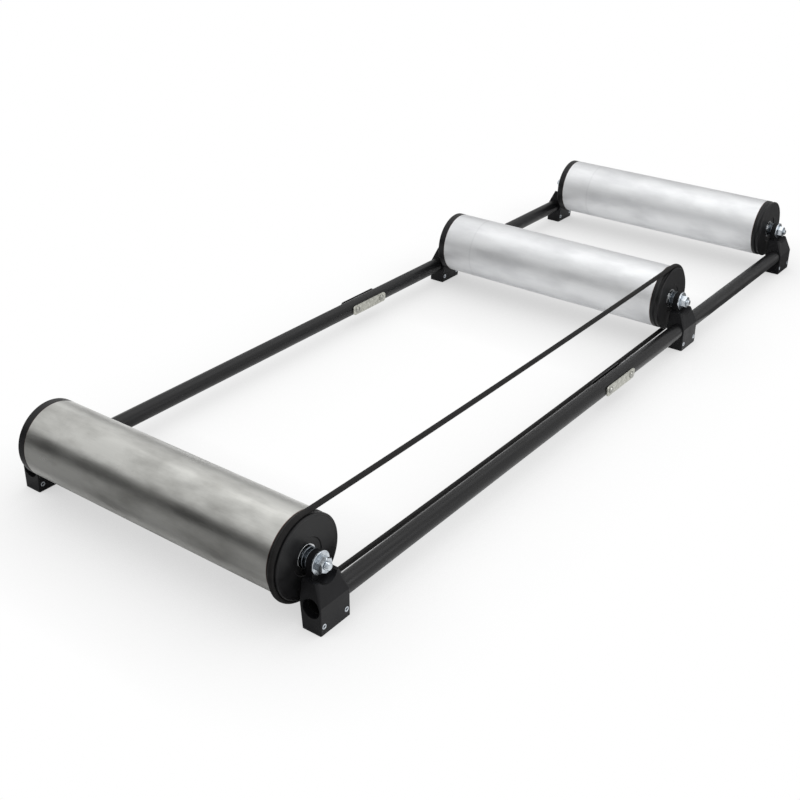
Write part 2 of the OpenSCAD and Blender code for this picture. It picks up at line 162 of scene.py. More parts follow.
def mill_finish_aluminium(name, bright, dull, smear, patch, polish, ring_share, centre_x,
                          half_length):
    """Extruded 6063 aluminium tube, as it left the die: long fine die lines along the tube,
    cloudy oxide, rubbed smears, and a band at each end that was turned to take the cap. The
    lower the polish number, the more the tyres have burnished it."""
    material, output = blank(name)
    tree = material.node_tree
    place = add(tree, "TexCoord", {}, {}).outputs["Object"]
    along = add(tree, "Mapping", {}, {"Vector": place, "Scale": (0.02, 1, 1)}).outputs[0]
    smears = add(tree, "Mapping", {}, {"Vector": place, "Scale": (0.4, 1, 1)}).outputs[0]
    # Die lines are 0.1 mm wide on the real tube; 0.9 mm is what a render can show.
    lines = add(tree, "TexNoise", {}, {"Vector": along, "Scale": grains(0.9), "Detail": 4.0,
                                       "Roughness": 0.7}).outputs["Fac"]
    broad = add(tree, "TexNoise", {}, {"Vector": smears, "Scale": grains(34), "Detail": 5.0,
                                       "Roughness": 0.52}).outputs["Fac"]
    cloud = add(tree, "TexNoise", {}, {"Vector": place, "Scale": grains(60), "Detail": 3.0,
                                       "Roughness": 0.5}).outputs["Fac"]
    fine = add(tree, "TexNoise", {}, {"Vector": smears, "Scale": grains(4), "Detail": 6.0,
                                      "Roughness": 0.7}).outputs["Fac"]
    line_share = add(tree, "MapRange", {}, {"Value": lines, "From Min": 0.3, "From Max": 0.7,
                                            "To Min": 0.0, "To Max": 0.3}).outputs[0]
    tone = add(tree, "Mix", {"data_type": "RGBA"}, {0: line_share, 6: linear(bright),
                                                     7: linear(dull)}).outputs[2]
    smear_share = add(tree, "MapRange", {}, {"Value": broad, "From Min": 0.44, "From Max": 0.72,
                                             "To Min": 0.0, "To Max": patch}).outputs[0]
    tone = add(tree, "Mix", {"data_type": "RGBA"}, {0: smear_share, 6: tone,
                                                     7: linear(smear)}).outputs[2]
    speck_share = add(tree, "MapRange", {}, {"Value": fine, "From Min": 0.62, "From Max": 0.8,
                                             "To Min": 0.0, "To Max": patch * 0.7}).outputs[0]
    tone = add(tree, "Mix", {"data_type": "RGBA"}, {0: speck_share, 6: tone,
                                                     7: linear(smear)}).outputs[2]
    # How far along the tube a point lies, from 0 at the middle to 1 at either end.
    x = add(tree, "SeparateXYZ", {}, {0: place}).outputs["X"]
    offset = add(tree, "Math", {"operation": "SUBTRACT"}, {0: x, 1: centre_x * MM}).outputs[0]
    away = add(tree, "Math", {"operation": "ABSOLUTE"}, {0: offset}).outputs[0]
    turned = add(tree, "MapRange", {"interpolation_type": "SMOOTHSTEP"},
                 {"Value": away, "From Min": (half_length - TURNED_BAND) * MM,
                  "From Max": (half_length - TURNED_BAND + 2) * MM}).outputs[0]
    # A faint broad ring that the lathe's chuck left near the tube's left end.
    chuck = add(tree, "Math", {"operation": "ADD"},
                {0: offset, 1: (half_length - CHUCK_RING) * MM}).outputs[0]
    chuck = add(tree, "Math", {"operation": "ABSOLUTE"}, {0: chuck}).outputs[0]
    chuck = add(tree, "MapRange", {}, {"Value": chuck, "From Max": 2.5 * MM, "To Min": ring_share,
                                       "To Max": 0.0}).outputs[0]
    tone = add(tree, "Mix", {"data_type": "RGBA"}, {0: chuck, 6: tone,
                                                     7: linear(smear)}).outputs[2]
    seam = add(tree, "MapRange", {}, {"Value": away, "From Min": (half_length - 1.0) * MM,
                                      "From Max": (half_length - 0.5) * MM}).outputs[0]
    tone = add(tree, "Mix", {"data_type": "RGBA"}, {0: seam, 6: tone,
                                                     7: linear("#4d332b")}).outputs[2]
    rough = add(tree, "MapRange", {}, {"Value": cloud, "From Min": 0.3, "From Max": 0.7,
                                       "To Min": polish, "To Max": polish + 0.1}).outputs[0]
    rough = add(tree, "Math", {"operation": "MULTIPLY_ADD"},
                {0: smear_share, 1: 0.1, 2: rough}).outputs[0]
    # The turned bands carry rings round the tube, 0.7 mm apart, so their lines cross the die's.
    rings = add(tree, "Mapping", {}, {"Vector": place, "Scale": (1, 0.02, 0.02)}).outputs[0]
    ring = add(tree, "TexNoise", {}, {"Vector": rings, "Scale": grains(0.7),
                                      "Detail": 2.0}).outputs["Fac"]
    height = add(tree, "Mix", {"data_type": "FLOAT"}, {0: turned, 2: lines, 3: ring}).outputs[0]
    bump = add(tree, "Bump", {}, {"Height": height, "Distance": 0.06 * MM,
                                  "Strength": 0.6}).outputs[0]
    shader = add(tree, "BsdfPrincipled", {}, {"Base Color": tone, "Metallic": 1.0,
                                              "Roughness": rough, "Normal": bump})
    tree.links.new(shader.outputs[0], output.inputs["Surface"])
    return material


def moulded_nylon(name, colour, bloom, roughness, gloss, pit_mm, pit_depth, scuff):
    """Black glass-filled nylon from a spark-eroded mould: a fine pitted skin, a grey bloom in
    patches and pale scuffs. The pits are drawn two or three times as coarse as they are."""
    material, output = blank(name)
    tree = material.node_tree
    place = add(tree, "TexCoord", {}, {}).outputs["Object"]
    pits = add(tree, "TexNoise", {}, {"Vector": place, "Scale": grains(pit_mm), "Detail": 3.0,
                                      "Roughness": 0.6}).outputs["Fac"]
    patches = add(tree, "TexNoise", {}, {"Vector": place, "Scale": grains(18), "Detail": 4.0,
                                         "Roughness": 0.6}).outputs["Fac"]
    scratches = add(tree, "Mapping", {}, {"Vector": place, "Rotation": (0.4, 0.9, 0.3),
                                          "Scale": (0.12, 1, 1)}).outputs[0]
    marks = add(tree, "TexNoise", {}, {"Vector": scratches, "Scale": grains(1.2), "Detail": 5.0,
                                       "Roughness": 0.75}).outputs["Fac"]
    share = add(tree, "MapRange", {}, {"Value": patches, "From Min": 0.42,
                                       "From Max": 0.7}).outputs[0]
    tone = add(tree, "Mix", {"data_type": "RGBA"}, {0: share, 6: linear(colour),
                                                     7: linear(bloom)}).outputs[2]
    mark_share = add(tree, "MapRange", {}, {"Value": marks, "From Min": 0.66, "From Max": 0.82,
                                            "To Min": 0.0, "To Max": scuff}).outputs[0]
    tone = add(tree, "Mix", {"data_type": "RGBA"}, {0: mark_share, 6: tone,
                                                     7: linear("#5c5c5f")}).outputs[2]
    rough = add(tree, "MapRange", {}, {"Value": patches, "From Min": 0.3, "From Max": 0.7,
                                       "To Min": roughness - 0.06,
                                       "To Max": roughness + 0.08}).outputs[0]
    bump = add(tree, "Bump", {}, {"Height": pits, "Distance": pit_depth * MM,
                                  "Strength": 0.7}).outputs[0]
    shader = add(tree, "BsdfPrincipled", {}, {"Base Color": tone, "Roughness": rough,
                                              "IOR": 1.53, "Specular IOR Level": gloss,
                                              "Normal": bump})
    tree.links.new(shader.outputs[0], output.inputs["Surface"])
    return material


def powder_coat(name, colour, worn):
    """Satin black polyester powder coat on the rails: the orange peel of the melted powder, a soft
    sheen, and rub marks along the tube where it has been carried and folded. The same black
    also paints the hinge plates behind the rails, as painted shade."""
    material, output = blank(name)
    tree = material.node_tree
    place = add(tree, "TexCoord", {}, {}).outputs["Object"]
    peel = add(tree, "TexNoise", {}, {"Vector": place, "Scale": grains(1.6), "Detail": 2.0,
                                      "Roughness": 0.45}).outputs["Fac"]
    long_way = add(tree, "Mapping", {}, {"Vector": place, "Scale": (1, 0.04, 1)}).outputs[0]
    rubs = add(tree, "TexNoise", {}, {"Vector": long_way, "Scale": grains(2.4), "Detail": 5.0,
                                      "Roughness": 0.7}).outputs["Fac"]
    patches = add(tree, "TexNoise", {}, {"Vector": place, "Scale": grains(55), "Detail": 3.0,
                                         "Roughness": 0.5}).outputs["Fac"]
    share = add(tree, "MapRange", {}, {"Value": rubs, "From Min": 0.55, "From Max": 0.8,
                                       "To Min": 0.0, "To Max": 0.6}).outputs[0]
    tone = add(tree, "Mix", {"data_type": "RGBA"}, {0: share, 6: linear(colour),
                                                     7: linear(worn)}).outputs[2]
    rough = add(tree, "MapRange", {}, {"Value": patches, "From Min": 0.3, "From Max": 0.7,
                                       "To Min": 0.3, "To Max": 0.42}).outputs[0]
    bump = add(tree, "Bump", {}, {"Height": peel, "Distance": 0.05 * MM,
                                  "Strength": 0.6}).outputs[0]
    shader = add(tree, "BsdfPrincipled", {}, {"Base Color": tone, "Roughness": rough,
                                              "IOR": 1.5, "Specular IOR Level": 0.24,
                                              "Normal": bump})
    tree.links.new(shader.outputs[0], output.inputs["Surface"])
    return material


def plated_steel(name, bright, dull, roughness, grain_mm, depth, stretch):
    """Steel with a bright zinc plating, or bare and polished: a thin crystalline grain, cloudy
    spots where the plating has dulled, and grain drawn out along the way it was worked."""
    material, output = blank(name)
    tree = material.node_tree
    place = add(tree, "TexCoord", {}, {}).outputs["Object"]
    drawn = add(tree, "Mapping", {}, {"Vector": place, "Scale": stretch}).outputs[0]
    grain = add(tree, "TexNoise", {}, {"Vector": drawn, "Scale": grains(grain_mm), "Detail": 4.0,
                                       "Roughness": 0.65}).outputs["Fac"]
    spots = add(tree, "TexNoise", {}, {"Vector": place, "Scale": grains(5), "Detail": 4.0,
                                       "Roughness": 0.6}).outputs["Fac"]
    share = add(tree, "MapRange", {}, {"Value": spots, "From Min": 0.4,
                                       "From Max": 0.7}).outputs[0]
    tone = add(tree, "Mix", {"data_type": "RGBA"}, {0: share, 6: linear(bright),
                                                     7: linear(dull)}).outputs[2]
    rough = add(tree, "MapRange", {}, {"Value": grain, "From Min": 0.3, "From Max": 0.7,
                                       "To Min": roughness - 0.05,
                                       "To Max": roughness + 0.1}).outputs[0]
    bump = add(tree, "Bump", {}, {"Height": grain, "Distance": depth * MM,
                                  "Strength": 0.6}).outputs[0]
    shader = add(tree, "BsdfPrincipled", {}, {"Base Color": tone, "Metallic": 1.0,
                                              "Roughness": rough, "Normal": bump})
    tree.links.new(shader.outputs[0], output.inputs["Surface"])
    return material


def belt_rubber(name):
    """Round black rubber drive cord: matt, with a dusty bloom and a fine ground skin."""
    material, output = blank(name)
    tree = material.node_tree
    place = add(tree, "TexCoord", {}, {}).outputs["Object"]
    skin = add(tree, "TexNoise", {}, {"Vector": place, "Scale": grains(0.8), "Detail": 4.0,
                                      "Roughness": 0.7}).outputs["Fac"]
    dust = add(tree, "TexNoise", {}, {"Vector": place, "Scale": grains(14), "Detail": 5.0,
                                      "Roughness": 0.65}).outputs["Fac"]
    share = add(tree, "MapRange", {}, {"Value": dust, "From Min": 0.4, "From Max": 0.75,
                                       "To Min": 0.0, "To Max": 0.8}).outputs[0]
    tone = add(tree, "Mix", {"data_type": "RGBA"}, {0: share, 6: linear("#0f0e0e"),
                                                     7: linear("#201f1e")}).outputs[2]
    bump = add(tree, "Bump", {}, {"Height": skin, "Distance": 0.08 * MM,
                                  "Strength": 0.6}).outputs[0]
    shader = add(tree, "BsdfPrincipled", {}, {"Base Color": tone, "Roughness": 0.6, "IOR": 1.52,
                                              "Specular IOR Level": 0.15, "Normal": bump})
    tree.links.new(shader.outputs[0], output.inputs["Surface"])
    return material


def studio_floor():
    """The white paper sweep under the object. Light and the metal's mirror image see the paper,
    lifted to white. The camera sees the white room through it, darkened by the object's soft
    contact shadow, so the section that folds under the floor's level stays in view."""
    material, output = blank("white_paper")
    tree = material.node_tree
    path = add(tree, "LightPath", {}, {})
    place = add(tree, "TexCoord", {}, {}).outputs["Object"]
    fibre = add(tree, "TexNoise", {}, {"Vector": place, "Scale": grains(3),
                                       "Detail": 3.0}).outputs["Fac"]
    tone = add(tree, "MapRange", {}, {"Value": fibre, "To Min": 0.84, "To Max": 0.86}).outputs[0]
    away = add(tree, "VectorMath", {"operation": "LENGTH"}, {0: place}).outputs["Value"]
    wanted = add(tree, "MapRange", {}, {"Value": away, "From Min": 1.2, "From Max": 3.0,
                                        "To Min": FLOOR_LIFT_NEAR,
                                        "To Max": FLOOR_LIFT_FAR}).outputs[0]
    lift = add(tree, "Math", {"operation": "MULTIPLY"},
               {0: path.outputs["Is Glossy Ray"], 1: wanted}).outputs[0]
    paper = add(tree, "BsdfDiffuse", {}, {"Color": tone}).outputs[0]
    glow = add(tree, "Emission", {}, {"Strength": lift}).outputs[0]
    lifted = add(tree, "AddShader", {}, {0: paper, 1: glow}).outputs[0]
    open_sky = add(tree, "AmbientOcclusion", {"samples": 12},
                   {"Distance": SHADOW_REACH}).outputs["AO"]
    shade = add(tree, "MapRange", {}, {"Value": open_sky, "To Min": SHADOW_DEPTH,
                                       "To Max": 0.0}).outputs[0]
    clear = add(tree, "BsdfTransparent", {}, {}).outputs[0]
    dark = add(tree, "BsdfDiffuse", {}, {"Color": (0, 0, 0, 1)}).outputs[0]
    shadowed = add(tree, "MixShader", {}, {0: shade, 1: clear, 2: dark}).outputs[0]
    both = add(tree, "MixShader", {}, {0: path.outputs["Is Camera Ray"], 1: lifted,
                                       2: shadowed}).outputs[0]
    tree.links.new(both, output.inputs["Surface"])
    return material


def make_flag(name, place, width, height, lean_degrees, turn_degrees, tone_low, tone_high):
    """A card that stands or lies beside the set, in metres. Only mirrored rays see it: it gives
    the round metal the darker bands that the photograph's drums show."""
    material, output = blank(name + "_felt")
    tree = material.node_tree
    where = add(tree, "TexCoord", {}, {}).outputs["Object"]
    felt = add(tree, "TexNoise", {}, {"Vector": where, "Scale": grains(8)}).outputs["Fac"]
    tone = add(tree, "MapRange", {}, {"Value": felt, "To Min": tone_low,
                                      "To Max": tone_high}).outputs[0]
    shader = add(tree, "BsdfDiffuse", {}, {"Color": tone})
    tree.links.new(shader.outputs[0], output.inputs["Surface"])
    bm = bmesh.new()
    bmesh.ops.create_grid(bm, x_segments=1, y_segments=1, size=0.5)
    bmesh.ops.scale(bm, verts=bm.verts, vec=(width, height, 1))
    bmesh.ops.rotate(bm, verts=bm.verts, cent=(0, 0, 0),
                     matrix=Matrix.Rotation(math.radians(lean_degrees), 3, "X"))
    bmesh.ops.rotate(bm, verts=bm.verts, cent=(0, 0, 0),
                     matrix=Matrix.Rotation(math.radians(turn_degrees), 3, "Z"))
    bmesh.ops.translate(bm, verts=bm.verts, vec=place)
    mesh = bpy.data.meshes.new(name)
    bm.to_mesh(mesh)
    bm.free()
    mesh.materials.append(material)
    card = bpy.data.objects.new(name, mesh)
    card.visible_camera = card.visible_diffuse = card.visible_shadow = False
    bpy.context.scene.collection.objects.link(card)


# ---------------------------------------------------------------- making pieces

def weigh_normals(mesh):
    """Gives each corner the normal of the faces round it that lie within SHARP of its own face,
    by their area, so that flat faces look flat right up to their rounded edges."""
    count = len(mesh.loops)
    vertex = np.empty(count, np.int64)
    mesh.loops.foreach_get("vertex_index", vertex)
    sides = np.empty(len(mesh.polygons), np.int64)
    mesh.polygons.foreach_get("loop_total", sides)
    area = np.empty(len(mesh.polygons))
    mesh.polygons.foreach_get("area", area)
    normal = np.empty(3 * len(mesh.polygons))
    mesh.polygons.foreach_get("normal", normal)
    normal = normal.reshape(-1, 3)
    face = np.repeat(np.arange(len(mesh.polygons)), sides)
    order = np.argsort(vertex, kind="stable")
    shared = np.bincount(vertex)
    first = np.cumsum(shared) - shared
    result = np.zeros((count, 3))
    for k in np.unique(shared[shared > 0]):
        corners = order[first[shared == k][:, None] + np.arange(k)]
        around = normal[face[corners]]
        alike = np.einsum("mic,mjc->mij", around, around) > math.cos(SHARP)
        heavy = around * (area[face[corners]] + TINY_AREA)[:, :, None]
        result[corners] = np.einsum("mij,mjc->mic", alike, heavy)
    result /= np.linalg.norm(result, axis=1)[:, None]
    mesh.normals_split_custom_set(result.tolist())


def finished(name, mesh, body, material, nodes):
    """Makes a piece of a finished mesh, in metres, and ties it to the frame."""
    mesh.materials.clear()
    mesh.materials.append(material)
    mesh.shade_smooth()
    mesh.set_sharp_from_angle(angle=SHARP)
    weigh_normals(mesh)
    piece = bpy.data.objects.new(name, mesh)
    bpy.context.scene.collection.objects.link(piece)
    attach(piece, body)
    if nodes:
        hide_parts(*nodes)


def round_sharp_edges(bm, radius, angle, segments):
    """Rounds the edges of a closed shape that are sharper than an angle."""
    edges = [e for e in bm.edges
             if len(e.link_faces) == 2 and e.calc_face_angle(0.0) > angle]
    if edges and radius > 0:
        bmesh.ops.bevel(bm, geom=edges, offset=radius, offset_type="OFFSET", segments=segments,
                        profile=0.5, affect="EDGES", clamp_overlap=True, material=-1)


def turn(bm, outline, steps=144):
    """Turns a closed outline of (x, radius) points about the X axis, into bm."""
    corners = [bm.verts.new((x, 0, radius)) for x, radius in outline]
    edges = [bm.edges.new(pair) for pair in zip(corners, corners[1:] + corners[:1])]
    bmesh.ops.spin(bm, geom=corners + edges, cent=(0, 0, 0), axis=(1, 0, 0), dvec=(0, 0, 0),
                   angle=math.tau, steps=steps, use_merge=True)


def turn_at(bm, outline, steps, y, z):
    """Turns an outline about the X axis and moves what it made to (y, z)."""
    before = set(bm.verts)
    turn(bm, outline, steps)
    bmesh.ops.translate(bm, verts=[v for v in bm.verts if v not in before], vec=(0, y, z))


def settle(bm):
    """Merges what coincides and turns every face outwards."""
    bmesh.ops.remove_doubles(bm, verts=bm.verts, dist=0.002)
    bmesh.ops.dissolve_degenerate(bm, edges=bm.edges, dist=0.002)
    bmesh.ops.recalc_face_normals(bm, faces=bm.faces)


def to_mesh(bm, name, centre):
    """Moves a shape drawn about the X axis, in millimetres, to its centre, in metres."""
    bmesh.ops.translate(bm, verts=bm.verts, vec=centre)
    bmesh.ops.scale(bm, verts=bm.verts, vec=(MM, MM, MM))
    mesh = bpy.data.meshes.new(name)
    bm.to_mesh(mesh)
    bm.free()
    return mesh


def turned_piece(name, outlines, centre, rounding, body, material, nodes):
    """A piece of one or more turned solids on one line, with their sharp edges rounded."""
    bm = bmesh.new()
    for outline in outlines:
        turn(bm, outline)
    settle(bm)
    round_sharp_edges(bm, rounding, SHARP, 2)
    mesh = to_mesh(bm, name, (0, centre[1], centre[2]))
    finished(name, mesh, body, material, nodes)


def rounded_copy(node, name, radius, angle, segments, body, material):
    """A CAD node's own shape with its edges rounded, as a piece that stands for the node."""
    bm = bmesh.new()
    bm.from_mesh(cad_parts[node].data)
    bmesh.ops.scale(bm, verts=bm.verts, vec=(1 / MM, 1 / MM, 1 / MM))
    bmesh.ops.remove_doubles(bm, verts=bm.verts, dist=0.002)
    bmesh.ops.dissolve_limit(bm, angle_limit=math.radians(0.5), verts=bm.verts,
                             edges=bm.edges, use_dissolve_boundaries=False)
    round_sharp_edges(bm, radius, angle, segments)
    mesh = to_mesh(bm, name, (0, 0, 0))
    finished(name, mesh, body, material, [node])


# ---------------------------------------------------------------- drums

TUBE_OD, TUBE_WALL, TUBE_LENGTH = 101.6, 3.0, 404.0
CAP_FIT, CAP_WALL, CAP_WEB, SPIGOT = 0.05, 4.5, 5.0, 18.0
BEARING_D, BEARING_W, BEARING_RECESS = 30.0, 9.0, 1.5
RING_EDGE, RACE_R, SHIELD_R, SHIELD_BORE = 0.4, 12.0, 12.2, 8.4
GROOVE_R, BELT_D, BELT_OFFSET = 52.8, 7.0, 8.0
SEAT_LIP = 2.0
# The cap's face: its rim's chamfer and width, and how deep the face and the recess lie.
RIM_CHAMFER, RIM_WIDTH, FACE_DEPTH, RECESS_DEPTH = 0.8, 3.0, 0.25, 1.3
GROOVE_STEPS = 14


def make_drum_tube(station, material):
    """The drum's aluminium tube, with both ends faced and deburred."""
    start, end = ends_of(station + "_drum_tube", 0)
    outer, inner = TUBE_OD / 2, TUBE_OD / 2 - TUBE_WALL
    outline = [(start, inner), (start, outer), (end, outer), (end, inner)]
    turned_piece(station + "_drum_shell", [outline], CENTRE[station], 0.35,
                 DRUM[station], material, [station + "_drum_tube"])


def cap_outline(length, groove):
    """One half of a cap, as (distance from the tube's end, radius). The face is turned back
    inside a low rim, with a deeper round recess about the bearing's open seat."""
    outer = TUBE_OD / 2
    tube = outer - TUBE_WALL - CAP_FIT
    rim, hub = tube - CAP_WALL, BEARING_D / 2 + CAP_WALL
    seat = BEARING_D / 2 + CAP_FIT
    lip = BEARING_D / 2 - SEAT_LIP
    floor = length - BEARING_RECESS - BEARING_W
    points = [(floor - SEAT_LIP, lip), (floor - SEAT_LIP, hub), (length - CAP_WEB, hub),
              (length - CAP_WEB, rim), (-SPIGOT, rim), (-SPIGOT, tube), (0, tube), (0, outer)]
    if groove:
        radius = BELT_D / 2 + CAP_FIT
        drop = GROOVE_R - outer
        half = math.sqrt(radius ** 2 - drop ** 2)
        first, last = math.atan2(-drop, -half), math.atan2(-drop, half)
        for i in range(GROOVE_STEPS + 1):
            a = first + (last - first) * i / GROOVE_STEPS
            points.append((BELT_OFFSET + radius * math.cos(a), GROOVE_R + radius * math.sin(a)))
    face, recess = length - FACE_DEPTH, length - RECESS_DEPTH
    points += [(length - RIM_CHAMFER, outer), (length, outer - RIM_CHAMFER),
               (length, outer - RIM_WIDTH), (face, outer - RIM_WIDTH - 0.4),
               (face, hub + 3.6), (recess, hub + 2.8), (recess, seat + 1.0),
               (recess - 0.15, seat), (floor, seat), (floor, lip)]
    return points


def make_cap(station, side, material):
    """A drum's end cap. The one on the belt's side carries the groove on every drum."""
    pulley = side > 0
    node = station + ("_pulley_cap" if pulley else "_left_cap")
    start, end = ends_of(station + "_drum_tube", 0)
    low, high = ends_of(node, 0)
    length = high - end if pulley else start - low
    joint = end if pulley else start
    outline = [(joint + side * x, r) for x, r in cap_outline(length, pulley)]
    turned_piece(node + "_moulding", [outline], CENTRE[station], 0.18, DRUM[station],
                 material, [node])


def make_bearing_rings(station, material):
    """The outer rings with their pressed shields, in both caps."""
    node = station + "_bearing_outer_rings"
    low, high = ends_of(node, 0)
    outer = BEARING_D / 2
    outlines = []
    for face, inward in ((low, 1), (high, -1)):
        back = face + inward * BEARING_W
        # Round the ring from its face: rim, back, back shield, race, front shield.
        outlines.append([(face, outer - RING_EDGE), (face + inward * RING_EDGE, outer),
                         (back - inward * RING_EDGE, outer), (back, outer - RING_EDGE),
                         (back, SHIELD_R), (back - inward * 0.5, SHIELD_BORE),
                         (back - inward * 0.9, SHIELD_BORE), (back - inward * 0.6, RACE_R),
                         (face + inward * 0.9, RACE_R), (face + inward * 0.9, SHIELD_BORE),
                         (face + inward * 0.35, SHIELD_BORE),
                         (face + inward * 0.2, SHIELD_R - 0.8), (face, SHIELD_R)])
    turned_piece(station + "_bearing_races", outlines, CENTRE[station], 0.0,
                 DRUM[station], material, [node])


# ---------------------------------------------------------------- axles and their hardware

THREAD_PITCH, THREAD_DEPTH, THREAD_ROW = 1.5, 0.75, 0.125
THREAD_LENGTH = 26.0
# The shares of half a pitch that the crest and the flank take up.
THREAD_CREST, THREAD_FLANK = 0.12, 0.74
AXLE_R, AXLE_CHAMFER, AXLE_STEPS = 5.0, 1.0, 48
WASHER_BORE = 10.1
# Diameter and thickness.
INNER_WASHER, OUTER_WASHER = (26.0, 1.6), (29.0, 2.0)


def make_axle(station, material):
    """An M10 axle: plain in the middle, with a real helical thread cut on both ends and a
    chamfer that runs the thread out."""
    node = station + "_axle"
    start, end = ends_of(node, 0)
    rows = int(THREAD_LENGTH / THREAD_ROW)
    left = [start + THREAD_ROW * i for i in range(rows + 1)]
    right = [end - THREAD_ROW * i for i in range(rows, -1, -1)]
    outline = [(x, AXLE_R - 0.01) for x in left + right]
    outline = [(start, 0), *outline, (end, 0)]
    bm = bmesh.new()
    turn(bm, outline, AXLE_STEPS)
    settle(bm)
    for v in bm.verts:
        x = v.co.x
        r = math.hypot(v.co.y, v.co.z)
        if r < AXLE_R / 2:
            continue
        from_end = min(x - start, end - x)
        if from_end > THREAD_LENGTH - THREAD_ROW / 2:
            continue
        angle = math.atan2(v.co.z, v.co.y) / math.tau
        phase = (x / THREAD_PITCH - angle) % 1.0
        flank = abs(phase - 0.5) * 2
        cut = THREAD_DEPTH * min(1.0, max(0.0, (flank - THREAD_CREST) / THREAD_FLANK))
        runout = min(1.0, (THREAD_LENGTH - from_end) / THREAD_PITCH)
        r_new = min(AXLE_R - cut * runout, AXLE_R - AXLE_CHAMFER + from_end)
        v.co.y *= r_new / r
        v.co.z *= r_new / r
    bmesh.ops.recalc_face_normals(bm, faces=bm.faces)
    mesh = to_mesh(bm, node, (0, CENTRE[station][1], CENTRE[station][2]))
    finished(station + "_threaded_axle", mesh, CHASSIS[station],
             material, [node])


def washer_outline(low, high, outer, inner, facing):
    """A pressed washer: one face rolled over at the rim by the press, the other left sharp."""
    rolled, plain = (high, low) if facing > 0 else (low, high)
    inward = -1 if facing > 0 else 1
    return [(plain, inner), (plain, outer - 0.1), (plain - inward * 0.15, outer),
            (rolled + inward * 0.5, outer), (rolled + inward * 0.22, outer - 0.18),
            (rolled + inward * 0.06, outer - 0.45), (rolled, outer - 0.9),
            (rolled, inner + 0.5), (rolled + inward * 0.3, inner)]


def places_along_x(node):
    """The places along X, in millimetres, where a CAD node has corners, in rising order."""
    bm = bmesh.new()
    bm.from_mesh(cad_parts[node].data)
    places = sorted({round(v.co.x / MM, 3) for v in bm.verts})
    bm.free()
    return places


def make_washers(station, kind, outer, thickness, material):
    """The washers on both sides of a drum, facing away from it."""
    node = station + kind
    starts = []
    for x in places_along_x(node):
        if not starts or x - starts[-1] > thickness + 0.02:
            starts.append(x)
    outlines = [washer_outline(x, x + thickness, outer / 2, WASHER_BORE / 2,
                               1 if x > 0 else -1)
                for x in starts]
    turned_piece(node + "_pressed", outlines, CENTRE[station], 0.0, CHASSIS[station],
                 material, [node])


# ---------------------------------------------------------------- supports and hinges

PIN_D, PIN_BORE, PIN_STEPS = 7.0, 3.2, 48
RIVET_HEAD_D, RIVET_HEAD_H, RIVET_SHANK, RIVET_STEPS = 10.5, 3.0, 6.0, 64
# A domed head with a set dimple, from its middle to its rim, as shares of height and radius.
RIVET_DOME = [(0.88, 0), (0.96, 0.1), (1, 0.17), (1, 0.25), (0.95, 0.42), (0.85, 0.59),
              (0.68, 0.75), (0.46, 0.88), (0.26, 0.95), (0.16, 0.985), (0.05, 1), (0, 1)]


def make_support_pins(station, material):
    """The four hollow pins through a station's feet, their ends rolled over."""
    node = station + "_support_pins"
    low, high = ends_of(node, 0)
    y_low, y_high = ends_of(node, 1)
    z_low, z_high = ends_of(node, 2)
    bm = bmesh.new()
    inner_x = min(abs(v.co.x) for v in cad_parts[node].data.vertices) / MM
    outer, bore = PIN_D / 2, PIN_BORE / 2
    # A rolled end, from the bore to the rim, as (depth from the tip, radius).
    rolled = [(0.5, bore), (0.12, bore + 0.25), (0, bore + 0.7), (0, outer - 0.7),
              (0.15, outer - 0.25), (0.55, outer)]
    for side in (-1, 1):
        for y in (y_low + outer, y_high - outer):
            a, b = sorted((side * inner_x, side * high))
            outline = [(a + depth, r) for depth, r in rolled]
            outline += [(b - depth, r) for depth, r in rolled[::-1]]
            turn_at(bm, outline, PIN_STEPS, y, (z_low + z_high) / 2)
    settle(bm)
    mesh = to_mesh(bm, node, (0, 0, 0))
    finished(node + "_hollow", mesh, CHASSIS[station], material,
             [node])


def make_hinge_rivets(material):
    """Four rivets: domed heads with a flat rim and a set dimple, on plain shanks."""
    node = "hinge_rivets"
    low, high = ends_of(node, 0)
    y_low, y_high = ends_of(node, 1)
    z_low, z_high = ends_of(node, 2)
    inner_x = min(abs(v.co.x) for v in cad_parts[node].data.vertices) / MM
    head, shank = RIVET_HEAD_D / 2, RIVET_SHANK / 2
    bm = bmesh.new()
    for side in (-1, 1):
        for y in (y_low + head, y_high - head):
            a, b = sorted((side * inner_x, side * high))
            near = [(a + RIVET_HEAD_H * (1 - h), head * r) for h, r in RIVET_DOME]
            far = [(b - RIVET_HEAD_H * (1 - h), head * r) for h, r in RIVET_DOME]
            outline = near + [(a + RIVET_HEAD_H, shank), (b - RIVET_HEAD_H, shank)] + far[::-1]
            turn_at(bm, outline, RIVET_STEPS, y, (z_low + z_high) / 2)
    settle(bm)
    mesh = to_mesh(bm, node, (0, 0, 0))
    finished("hinge_rivets_domed", mesh, "hinge_links", material, [node])


# ---------------------------------------------------------------- drive belt

BELT_SAG = 3.0
# The stretched cord is a little thinner than its groove, so that it clears it when it turns.
BELT_THINNING = 0.03
HINGE_BLEND = 120.0
RUN_STEPS, TURN_STEPS, HINGE_CROWDING = 90, 72, 1.6


def belt_run(y, level):
    """The height of a belt run's centre line at y. Between the drums it sags by its own weight."""
    front, middle = CENTRE["front"][1], CENTRE["middle"][1]
    share = (y - front) / (middle - front)
    return CENTRE["middle"][2] + level * GROOVE_R - BELT_SAG * 4 * share * (1 - share)


